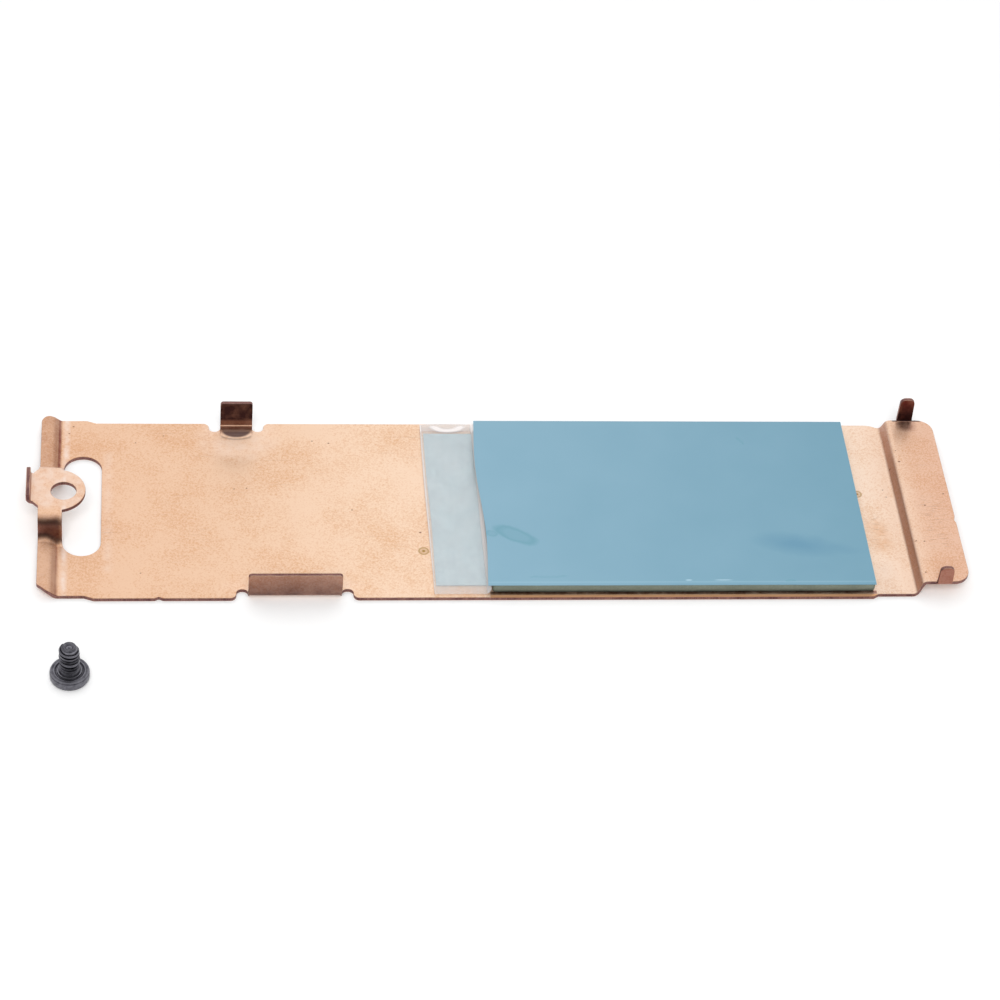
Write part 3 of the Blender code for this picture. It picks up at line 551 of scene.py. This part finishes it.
def film_tree():
    """A thin film between two corners of its underside, rippled, with a wandering left cut and lifted margins."""
    tree, given = geometry_tree("thin_film", {
        "Vector": ("Low Corner", "High Corner"),
        "Float": (
            "Thickness", "Ripple Height", "Ripple Size", "Seed", "Cut Wander", "Wander Start", "Wander End",
            "Near Drop", "Far Lift", "Far Lift Reach", "Right Lift", "Right Lift Reach",
        ),
        "Int": ("Columns", "Rows"), "Material": ("Material",),
    })
    low, high = given["Low Corner"], given["High Corner"]
    middle = add_node(tree, "ShaderNodeVectorMath", {0: low, 1: high}, operation="ADD")
    middle = add_node(tree, "ShaderNodeVectorMath", {0: middle, "Scale": 0.5}, operation="SCALE")
    size = add_node(tree, "ShaderNodeVectorMath", {0: high, 1: low}, operation="SUBTRACT")
    size = add_node(tree, "ShaderNodeSeparateXYZ", {0: size}).outputs
    grid = add_node(
        tree, "GeometryNodeMeshGrid",
        {"Size X": size["X"], "Size Y": size["Y"], "Vertices X": given["Columns"], "Vertices Y": given["Rows"]},
    )
    laid = add_node(tree, "GeometryNodeSetPosition", {"Geometry": grid, "Offset": middle})

    # Each of left to far is 1 at its own edge and falls over its reach to 0. Nearer falls to a quarter.
    position = add_node(tree, "GeometryNodeInputPosition")
    at_y = add_node(tree, "ShaderNodeSeparateXYZ", {0: position}).outputs["Y"]
    from_low = add_node(tree, "ShaderNodeVectorMath", {0: position, 1: low}, operation="SUBTRACT")
    from_low = add_node(tree, "ShaderNodeSeparateXYZ", {0: from_low}).outputs
    from_high = add_node(tree, "ShaderNodeVectorMath", {0: high, 1: position}, operation="SUBTRACT")
    from_high = add_node(tree, "ShaderNodeSeparateXYZ", {0: from_high}).outputs
    left, near, right, far, nearer = (
        add_node(tree, "ShaderNodeMapRange", {"Value": distance, 2: reach, 3: 1.0, 4: end})
        for distance, reach, end in (
            (from_low["X"], FILM_CUT_REACH, 0.0), (from_low["Y"], FILM_PINCH_REACH, 0.0),
            (from_high["X"], given["Right Lift Reach"], 0.0), (from_high["Y"], given["Far Lift Reach"], 0.0),
            (from_low["Y"], size["Y"], 0.25),
        )
    )
    arch = add_node(tree, "ShaderNodeMapRange", {"Value": from_low["X"], 2: size["X"], 4: pi})
    arch = add_node(tree, "ShaderNodeMath", {0: arch}, operation="SINE")
    sway = add_node(
        tree, "ShaderNodeMapRange",
        {"Value": at_y, 1: given["Wander Start"], 2: given["Wander End"], 4: 2 * pi}, clamp=False,
    )
    sway = add_node(tree, "ShaderNodeMath", {0: sway}, operation="SINE")
    seed_shift = add_node(tree, "ShaderNodeCombineXYZ", {2: given["Seed"]})
    flat = add_node(
        tree, "ShaderNodeVectorMath", {0: position, 1: (1, 1, 0), 2: seed_shift}, operation="MULTIPLY_ADD"
    )
    finer = add_node(tree, "ShaderNodeMath", {0: 1.0, 1: given["Ripple Size"]}, operation="DIVIDE")
    ripple = add_node(tree, "ShaderNodeTexNoise", {"Vector": flat, "Scale": finer, "Detail": 1.0, "Roughness": 0.4})

    # A point moves sideways and upward by sums of products, one for each thing that bends the film.
    shift = {0: 0.0, 2: 0.0}
    for axis, *factors in (
        (0, sway, given["Cut Wander"], left, -1.0), (2, ripple, given["Ripple Height"]),
        (2, far, far, arch, given["Far Lift"]), (2, near, given["Near Drop"], -1.0),
        (2, right, right, nearer, given["Right Lift"]),
    ):
        product = 1.0
        for factor in factors:
            product = add_node(tree, "ShaderNodeMath", {0: product, 1: factor}, operation="MULTIPLY")
        shift[axis] = add_node(tree, "ShaderNodeMath", {0: shift[axis], 1: product}, operation="ADD")
    moved = add_node(tree, "ShaderNodeCombineXYZ", shift)
    shaped = add_node(tree, "GeometryNodeSetPosition", {"Geometry": laid, "Offset": moved})

    upward = add_node(tree, "ShaderNodeCombineXYZ", {2: given["Thickness"]})
    pushed = add_node(
        tree, "GeometryNodeExtrudeMesh",
        {"Mesh": shaped, "Offset": upward, "Offset Scale": 1.0, "Individual": False},
    )
    under = add_node(tree, "GeometryNodeFlipFaces", {"Mesh": shaped})
    joined = add_node(tree, "GeometryNodeJoinGeometry")
    for part in (under, pushed):
        set_inputs(tree, joined, {"Geometry": part})
    closed = add_node(tree, "GeometryNodeMergeByDistance", {"Geometry": joined, "Distance": 0.0000005})
    real = add_node(tree, "GeometryNodeRealizeInstances", {"Geometry": closed})
    dressed = add_node(tree, "GeometryNodeSetMaterial", {"Geometry": real, "Material": given["Material"]})
    add_node(tree, "NodeGroupOutput", {"Geometry": dressed})
    return tree


def made_by(tree, name, values):
    """The plain mesh object that a Geometry Nodes tree gives for these named inputs."""
    holder = new_object(name + "_holder", bpy.data.meshes.new(name + "_holder"))
    modifier = holder.modifiers.new(tree.name, "NODES")
    modifier.node_group = tree
    for item in tree.interface.items_tree:
        if item.in_out == "INPUT":
            modifier[item.identifier] = values[item.name]
    graph = bpy.context.evaluated_depsgraph_get()
    mesh = bpy.data.meshes.new_from_object(holder.evaluated_get(graph))
    mesh.name = name
    mesh.set_sharp_from_angle(angle=SMOOTH_TURN)
    bpy.data.objects.remove(holder)
    return new_object(name, mesh)


def patch_amount(tree, place, patches, soft, hollow=0.0):
    """How much of any elliptical patch (centre, turn, half sizes, strength) is at a place, in millimetres."""
    amount = 0.0
    for centre, turn, reach, strength in patches:
        away = distance_from(tree, place, centre, reach, turn)
        patch = add_node(tree, "ShaderNodeMapRange", {"Value": away, 1: 1.0 + soft, 2: 1.0 - soft, 4: strength})
        if hollow:
            heart = add_node(tree, "ShaderNodeMapRange", {"Value": away, 1: 0.9, 2: 0.55, 4: strength * hollow})
            patch = add_node(tree, "ShaderNodeMath", {0: patch, 1: heart}, operation="SUBTRACT")
        amount = add_node(tree, "ShaderNodeMath", {0: amount, 1: patch}, operation="MAXIMUM")
    return amount


# Blue PET: satin and even, paler to the left and along its pinched front edge, with a few painted glints on that
# edge. Where silicone oil wets it, it goes teal with a slightly darker rim.
blue_pet, tree, shader, mm = new_material("blue_release_pet")
axes = add_node(tree, "ShaderNodeSeparateXYZ", {0: mm})
soft = add_node(tree, "ShaderNodeTexNoise", {"Vector": mm, "Scale": 0.16, "Detail": 2.0})
along = add_node(tree, "ShaderNodeMapRange", {"Value": axes.outputs["X"], 1: -2.0, 2: 38.0})
drift = add_node(tree, "ShaderNodeMath", {0: soft, 1: 0.5, 2: along}, operation="MULTIPLY_ADD")
drift = add_node(tree, "ShaderNodeMath", {0: drift, 1: 0.25}, operation="SUBTRACT", use_clamp=True)
blue = add_node(tree, "ShaderNodeMix", {0: drift, 6: linear(BLUE_LEFT), 7: linear(BLUE_RIGHT)}, data_type="RGBA")
edge = add_node(tree, "ShaderNodeTexNoise", {"Vector": mm, "Scale": 0.8, "Detail": 3.0})
bent = add_node(
    tree, "ShaderNodeVectorMath", {0: edge.outputs["Color"], 1: (0.6, 0.6, 0), 2: mm}, operation="MULTIPLY_ADD"
)
bent = add_node(tree, "ShaderNodeVectorMath", {0: bent, 1: (0.3, 0.3, 0)}, operation="SUBTRACT")
wet = patch_amount(tree, bent, WET_PLACES, 0.16, hollow=0.55)
damp = patch_amount(tree, bent, DAMP_PLACES, 0.7)
crease = peak_at(tree, axes.outputs["Y"], CREASE_LINE, 0.14, 0.02, 0.25)
painted_glints = patch_amount(tree, mm, PAINTED_GLINTS, 0.3)
crease_and_glints = add_node(tree, "ShaderNodeMath", {0: crease, 1: painted_glints}, operation="MAXIMUM")
for amount, tone in ((wet, BLUE_WET), (damp, BLUE_DAMP), (crease_and_glints, BLUE_CREASE_AND_GLINT)):
    blue = add_node(tree, "ShaderNodeMix", {0: amount, 6: blue, 7: linear(tone)}, data_type="RGBA")
satin = add_node(tree, "ShaderNodeMath", {0: wet, 1: -0.12, 2: 0.36}, operation="MULTIPLY_ADD")
relief = add_node(tree, "ShaderNodeBump", {"Strength": 0.25, "Distance": 0.00002, "Height": soft})
set_inputs(tree, shader, {"Base Color": blue, "Roughness": satin, "Normal": relief, "IOR": 1.5})

thin_film = film_tree()
low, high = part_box("blue_liner")
release_liner = made_by(thin_film, "release_liner", {
    "Low Corner": (low.x - LINER_OVERHANG, low.y, low.z), "High Corner": (high.x, high.y, low.z),
    "Thickness": 0.00005, "Ripple Height": 0.00003, "Ripple Size": 0.006, "Seed": 3.0,
    "Cut Wander": 0.00019, "Wander Start": 0.00066, "Wander End": 0.01996, "Near Drop": 0.00003,
    "Far Lift": 0.0, "Far Lift Reach": 0.002, "Right Lift": 0.0, "Right Lift Reach": 0.002,
    "Columns": 160, "Rows": 110, "Material": blue_pet,
})
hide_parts("blue_liner")
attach(release_liner, "root")


# ---- The tape beside the pad
# A thin strip of pale grey-blue polyester tape, cut square from a roll and rubbed flat on the copper, a little
# way from the pad. It holds down the clear film that lies over it.
TAPE_PALE = "C2D5DA"
TAPE_GREY = "B2C6CC"

# Matt polyester, a little uneven in tone, with a faint lengthwise weave 0.3 mm apart.
pale_tape, tree, shader, mm = new_material("pale_polyester_tape")
cloud = add_node(tree, "ShaderNodeTexNoise", {"Vector": mm, "Scale": 0.5, "Detail": 3.0})
weave = add_node(tree, "ShaderNodeMapping", {0: mm, "Scale": (3.2, 0.25, 1.0)})
weave = add_node(tree, "ShaderNodeTexNoise", {"Vector": weave, "Scale": 1.0, "Detail": 2.0})
blend = add_node(tree, "ShaderNodeMath", {0: weave, 1: 0.5, 2: cloud}, operation="MULTIPLY_ADD")
blend = add_node(tree, "ShaderNodeMapRange", {"Value": blend, 1: 0.55, 2: 0.95})
colour = add_node(tree, "ShaderNodeMix", {0: blend, 6: linear(TAPE_GREY), 7: linear(TAPE_PALE)}, data_type="RGBA")
relief = add_node(tree, "ShaderNodeBump", {"Strength": 0.2, "Distance": 0.00001, "Height": weave})
set_inputs(tree, shader, {"Base Color": colour, "Roughness": 0.55, "Normal": relief})

low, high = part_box("tape_strip")
grey_tape = made_by(thin_film, "grey_tape", {
    "Low Corner": (low.x, low.y, low.z), "High Corner": (high.x, high.y, low.z),
    "Thickness": 0.00007, "Ripple Height": 0.00001, "Ripple Size": 0.003, "Seed": 5.0,
    "Cut Wander": 0.00004, "Wander Start": 0.002, "Wander End": 0.019, "Near Drop": 0.0,
    "Far Lift": 0.0, "Far Lift Reach": 0.002, "Right Lift": 0.0, "Right Lift Reach": 0.002,
    "Columns": 30, "Rows": 110, "Material": pale_tape,
})
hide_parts("tape_strip")
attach(grey_tape, "root")


# ---- The clear film over the tape
# A clear PET film the full depth of the panel. It is stuck down by the tape, its right margin climbs the side of
# the pad, and its far end is lifted a little. A white arc at its far end is a painted glare.
FILM_WHITE = "E4E6E8"
# The colour of the painted glare.
FILM_GLARE = "F3ECEA"
FILM_ARC_CENTRE = (-2.85, 12.15)
FILM_ARC_RADII = (1.5, 0.95)

# Clear PET: it greys what it covers a little, and a painted glare makes it whiter and less clear along its left
# edge, its right margin and its far end, and in an arc there.
clear_pet, tree, shader, mm = new_material("clear_pet_film")
axes = add_node(tree, "ShaderNodeSeparateXYZ", {0: mm})
smear = add_node(tree, "ShaderNodeTexNoise", {"Vector": mm, "Scale": 0.4, "Detail": 3.0})
veil = add_node(tree, "ShaderNodeMapRange", {"Value": smear, 1: 0.3, 2: 0.7, 3: 0.20, 4: 0.30})
away = distance_from(tree, mm, FILM_ARC_CENTRE, FILM_ARC_RADII)
arc = peak_at(tree, away, 0.97, 0.34, 0.02, 0.9)
inner = add_node(tree, "ShaderNodeMapRange", {"Value": axes.outputs["Y"], 1: 11.95, 2: 11.75})
arc = add_node(tree, "ShaderNodeMath", {0: arc, 1: inner}, operation="MULTIPLY")
left_line = add_node(tree, "ShaderNodeMapRange", {"Value": axes.outputs["X"], 1: -5.38, 2: -5.48, 4: 0.6})
far_end = add_node(tree, "ShaderNodeMapRange", {"Value": axes.outputs["Y"], 1: 10.9, 2: 11.3, 4: 0.42})
right_margin = add_node(tree, "ShaderNodeMapRange", {"Value": axes.outputs["X"], 1: -0.62, 2: -0.48, 4: 0.6})
painted_glare = arc
for margin in (left_line, right_margin):
    painted_glare = add_node(tree, "ShaderNodeMath", {0: painted_glare, 1: margin}, operation="MAXIMUM")
painted_glare = add_node(tree, "ShaderNodeMath", {0: painted_glare, 1: far_end}, operation="ADD", use_clamp=True)
covers = add_node(tree, "ShaderNodeMath", {0: veil, 1: painted_glare}, operation="MAXIMUM")
white = add_node(
    tree, "ShaderNodeMix", {0: painted_glare, 6: linear(FILM_WHITE), 7: linear(FILM_GLARE)}, data_type="RGBA"
)
relief = add_node(tree, "ShaderNodeBump", {"Strength": 0.2, "Distance": 0.00003, "Height": smear})
set_inputs(tree, shader, {
    "Base Color": white, "Alpha": covers, "Normal": relief, "Roughness": 0.14, "IOR": 1.57,
})

low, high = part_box("clear_film")
cover_film = made_by(thin_film, "cover_film", {
    "Low Corner": (low.x, low.y, low.z), "High Corner": (high.x, high.y, low.z),
    "Thickness": 0.00004, "Ripple Height": 0.00002, "Ripple Size": 0.004, "Seed": 8.0,
    "Cut Wander": 0.00005, "Wander Start": -0.004, "Wander End": 0.026, "Near Drop": 0.0,
    "Far Lift": 0.00015, "Far Lift Reach": 0.0012, "Right Lift": 0.0006, "Right Lift Reach": 0.0005,
    "Columns": 90, "Rows": 200, "Material": clear_pet,
})
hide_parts("clear_film")
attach(cover_film, "root")


# ---- The screw
# A short machine screw with a wide flat head, turned from steel and blackened. It stands on its head, so the
# stepped face under the head, the thread and the dimpled tip show from above, and the cross recess below.
STEEL_DARK = "414047"
STEEL_WORN = "94939B"
THREAD_PITCH = 0.0004
THREAD_DEPTH = 0.0002
SHANK_RADIUS = 0.00095
HEAD_HEIGHT = 0.0010
SCREW_SIDES = 72
RECESS_REACH = 0.00085
RECESS_WIDTH = 0.00032
RECESS_DEPTH = 0.00055
RECESS_TAPER = ((-0.0001, 1.05), (RECESS_DEPTH, 0.55))

low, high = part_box("fixing_screw")
screw_axis = Vector(((low.x + high.x) / 2, (low.y + high.y) / 2, 0))
head_radius = (high.x - low.x) / 2
tip = high.z
root = SHANK_RADIUS - THREAD_DEPTH
profile = [
    (0.0, 0.0), (head_radius - 0.0003, 0.0), (head_radius - 0.0001, 0.00006), (head_radius, 0.00024),
    (head_radius, HEAD_HEIGHT - 0.0002), (head_radius - 0.00006, HEAD_HEIGHT - 0.00006),
    (head_radius - 0.0002, HEAD_HEIGHT), (head_radius - 0.0005, HEAD_HEIGHT),
    (head_radius - 0.00056, HEAD_HEIGHT - 0.00008), (SHANK_RADIUS + 0.00022, HEAD_HEIGHT - 0.00008),
    (SHANK_RADIUS + 0.00016, HEAD_HEIGHT), (SHANK_RADIUS + 0.00004, HEAD_HEIGHT + 0.00002),
    (SHANK_RADIUS, HEAD_HEIGHT + 0.0003), (root, HEAD_HEIGHT + 0.0005), (root, tip - 0.0003),
    (root - 0.00012, tip - 0.00003), (root - 0.0002, tip), (root - 0.0003, tip - 0.00004),
    (0.00012, tip - 0.00022), (0.0, tip - 0.00024),
]
bm = bmesh.new()
verts = [bm.verts.new((radius, 0, z)) for radius, z in profile]
edges = [bm.edges.new(pair) for pair in zip(verts, verts[1:])]
bmesh.ops.spin(bm, geom=verts + edges, angle=2 * pi, steps=SCREW_SIDES, axis=(0, 0, 1), cent=(0, 0, 0))
bmesh.ops.remove_doubles(bm, verts=bm.verts, dist=0.000002)
bmesh.ops.recalc_face_normals(bm, faces=bm.faces)
bmesh.ops.translate(bm, verts=bm.verts, vec=screw_axis)
screw_body = new_piece("screw_body", bm)

# The cross recess is cut with a tapered cross, which is then thrown away.
bm = bmesh.new()
half = RECESS_WIDTH / 2
cross = [
    (RECESS_REACH, -half), (RECESS_REACH, half), (half, half), (half, RECESS_REACH), (-half, RECESS_REACH),
    (-half, half), (-RECESS_REACH, half), (-RECESS_REACH, -half), (-half, -half), (-half, -RECESS_REACH),
    (half, -RECESS_REACH), (half, -half),
]
rings = []
for z, share in RECESS_TAPER:
    rings.append([bm.verts.new((x * share, y * share, z)) for x, y in cross])
bm.faces.new(rings[0])
bm.faces.new(rings[1])
for i in range(len(cross)):
    j = (i + 1) % len(cross)
    bm.faces.new((rings[0][i], rings[0][j], rings[1][j], rings[1][i]))
bmesh.ops.recalc_face_normals(bm, faces=bm.faces)
bmesh.ops.translate(bm, verts=bm.verts, vec=screw_axis)
cutter = new_piece("recess_cutter", bm)
recess = screw_body.modifiers.new("recess", "BOOLEAN")
recess.operation = "DIFFERENCE"
recess.solver = "EXACT"
recess.object = cutter
graph = bpy.context.evaluated_depsgraph_get()
cut_mesh = bpy.data.meshes.new_from_object(screw_body.evaluated_get(graph))
screw_body.modifiers.clear()
screw_body.data = cut_mesh
screw_body.data.set_sharp_from_angle(angle=SMOOTH_TURN)
bpy.data.objects.remove(cutter)


def thread_tree():
    """A screw thread as Geometry Nodes: a helix swept by a ridge profile."""
    tree, given = geometry_tree("screw_thread", {
        "Float": ("Root Radius", "Pitch", "Start Z", "End Z", "Ridge", "Axis X", "Axis Y"),
        "Int": ("Steps Per Turn",), "Material": ("Material",),
    })
    length = add_node(tree, "ShaderNodeMath", {0: given["End Z"], 1: given["Start Z"]}, operation="SUBTRACT")
    turns = add_node(tree, "ShaderNodeMath", {0: length, 1: given["Pitch"]}, operation="DIVIDE")
    helix = add_node(
        tree, "GeometryNodeCurveSpiral",
        {"Resolution": given["Steps Per Turn"], "Rotations": turns, "Start Radius": given["Root Radius"],
         "End Radius": given["Root Radius"], "Height": length},
    )
    ridge = add_node(tree, "GeometryNodeCurvePrimitiveCircle", {"Resolution": 4, "Radius": given["Ridge"]})
    swept = add_node(tree, "GeometryNodeCurveToMesh", {"Curve": helix, "Profile Curve": ridge, "Fill Caps": True})
    spot = add_node(tree, "ShaderNodeCombineXYZ", {0: given["Axis X"], 1: given["Axis Y"], 2: given["Start Z"]})
    moved = add_node(tree, "GeometryNodeSetPosition", {"Geometry": swept, "Offset": spot})
    real = add_node(tree, "GeometryNodeRealizeInstances", {"Geometry": moved})
    dressed = add_node(tree, "GeometryNodeSetMaterial", {"Geometry": real, "Material": given["Material"]})
    add_node(tree, "NodeGroupOutput", {"Geometry": dressed})
    return tree


# Black oxide steel: near black and satin, worn to grey in patches, with turning rings 0.12 mm apart.
black_oxide, tree, shader, mm = new_material("black_oxide_steel")
radius = distance_from(tree, mm, (screw_axis.x * 1000, screw_axis.y * 1000), (1, 1))
turned = add_node(tree, "ShaderNodeCombineXYZ", {0: radius})
turned = add_node(tree, "ShaderNodeTexNoise", {"Vector": turned, "Scale": 8.0, "Detail": 2.0})
rub = add_node(tree, "ShaderNodeTexNoise", {"Vector": mm, "Scale": 2.6, "Detail": 4.0, "Roughness": 0.65})
worn = add_node(tree, "ShaderNodeMath", {0: rub, 1: 0.45, 2: turned}, operation="MULTIPLY_ADD")
worn = add_node(tree, "ShaderNodeMapRange", {"Value": worn, 1: 0.62, 2: 0.9})
steel = add_node(tree, "ShaderNodeMix", {0: worn, 6: linear(STEEL_DARK), 7: linear(STEEL_WORN)}, data_type="RGBA")
rough = add_node(tree, "ShaderNodeMapRange", {"Value": rub, 1: 0.3, 2: 0.7, 3: 0.34, 4: 0.5})
relief = add_node(tree, "ShaderNodeBump", {"Strength": 0.4, "Distance": 0.00001, "Height": turned})
set_inputs(tree, shader, {"Base Color": steel, "Roughness": rough, "Normal": relief, "Metallic": 1.0})
screw_body.data.materials.clear()
screw_body.data.materials.append(black_oxide)

screw_thread = made_by(thread_tree(), "screw_thread", {
    "Root Radius": root + 0.00004, "Pitch": THREAD_PITCH, "Start Z": HEAD_HEIGHT + 0.0004, "End Z": tip - 0.00035,
    "Ridge": THREAD_DEPTH * 0.8, "Axis X": screw_axis.x, "Axis Y": screw_axis.y,
    "Steps Per Turn": 48, "Material": black_oxide,
})
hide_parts("fixing_screw")
for piece in (screw_body, screw_thread):
    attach(piece, "root")


# ---- The table, the light and the camera
# A plain white table under a soft sky that is bright above and behind the object and dark in front of it, with
# one large soft lamp above the front, which lights the matt pieces and isn't mirrored in the metal.
SKY_BRIGHT = 1.0
SKY_DIM = 0.14
SKY_TOWARD = (0.0, 0.66, 0.75)
TABLE_WHITE = "F4F4F4"
TABLE_GLOW = 0.1
TABLE_REACH = 3.0
TABLE_DROP = 0.00002
LAMP_PLACE = (-0.05, -0.45, 0.54)
LAMP_SIZE = 0.5
LAMP_POWER = 3.4

bm = bmesh.new()
bmesh.ops.create_grid(bm, x_segments=1, y_segments=1, size=TABLE_REACH)
bmesh.ops.translate(bm, verts=bm.verts, vec=(0, 0, -TABLE_DROP))
table = new_piece("table", bm)
matt_table, tree, shader, mm = new_material("matt_white_table")
path = add_node(tree, "ShaderNodeLightPath").outputs
seen = path["Is Camera Ray"]
for ray in ("Is Glossy Ray", "Is Transmission Ray"):
    seen = add_node(tree, "ShaderNodeMath", {0: seen, 1: path[ray]}, operation="MAXIMUM")
seen = add_node(tree, "ShaderNodeMath", {0: seen, 1: TABLE_GLOW}, operation="MULTIPLY")
set_inputs(tree, shader, {
    "Base Color": linear(TABLE_WHITE), "Roughness": 0.6, "Emission Color": (1, 1, 1, 1), "Emission Strength": seen,
})
table.data.materials.append(matt_table)

world = bpy.data.worlds.new("soft_studio")
bpy.context.scene.world = world
world.use_nodes = True
tree = world.node_tree
direction = add_node(tree, "ShaderNodeTexCoord")
toward = add_node(
    tree, "ShaderNodeVectorMath", {0: direction.outputs["Generated"], 1: SKY_TOWARD}, operation="DOT_PRODUCT"
)
glow = add_node(
    tree, "ShaderNodeMapRange", {"Value": toward, 1: 0.1, 2: 0.85, 3: SKY_DIM, 4: SKY_BRIGHT},
    interpolation_type="SMOOTHSTEP",
)
path = add_node(tree, "ShaderNodeLightPath").outputs
strength = add_node(tree, "ShaderNodeMix", {0: path["Is Camera Ray"], 2: glow, 3: 1.0}, data_type="FLOAT")
set_inputs(tree, tree.nodes["Background"], {"Color": (1, 1, 1, 1), "Strength": strength})

lamp_data = bpy.data.lights.new("soft_lamp", "AREA")
lamp_data.shape = "DISK"
lamp_data.size = LAMP_SIZE
lamp_data.energy = LAMP_POWER
lamp = new_object("soft_lamp", lamp_data)
lamp.location = LAMP_PLACE
lamp.rotation_euler = (-lamp.location).to_track_quat("-Z", "Y").to_euler()
lamp.visible_glossy = False

# The photograph's camera, as fitted to the sheet's corners: focal length in pixels of a 1000 x 1000 image.
CAMERA_PLACE = (-0.031984, -0.226023, 0.217218)
CAMERA_YAW = 8.4003
CAMERA_PITCH = 43.3014
CAMERA_ROLL = 5.7971
FOCAL_PIXELS = 3280.72
camera_data = bpy.data.cameras.new("camera")
camera_data.sensor_width = 36.0
camera_data.lens = FOCAL_PIXELS / 1000 * camera_data.sensor_width
camera_data.clip_start = 0.01
camera_data.clip_end = 10.0
camera = new_object("camera", camera_data)
camera.matrix_world = (
    Matrix.Translation(CAMERA_PLACE)
    @ Matrix.Rotation(radians(-CAMERA_YAW), 4, "Z")
    @ Matrix.Rotation(radians(90 - CAMERA_PITCH), 4, "X")
    @ Matrix.Rotation(radians(CAMERA_ROLL), 4, "Z")
)
bpy.context.scene.camera = camera
bpy.context.scene.view_settings.view_transform = "Standard"
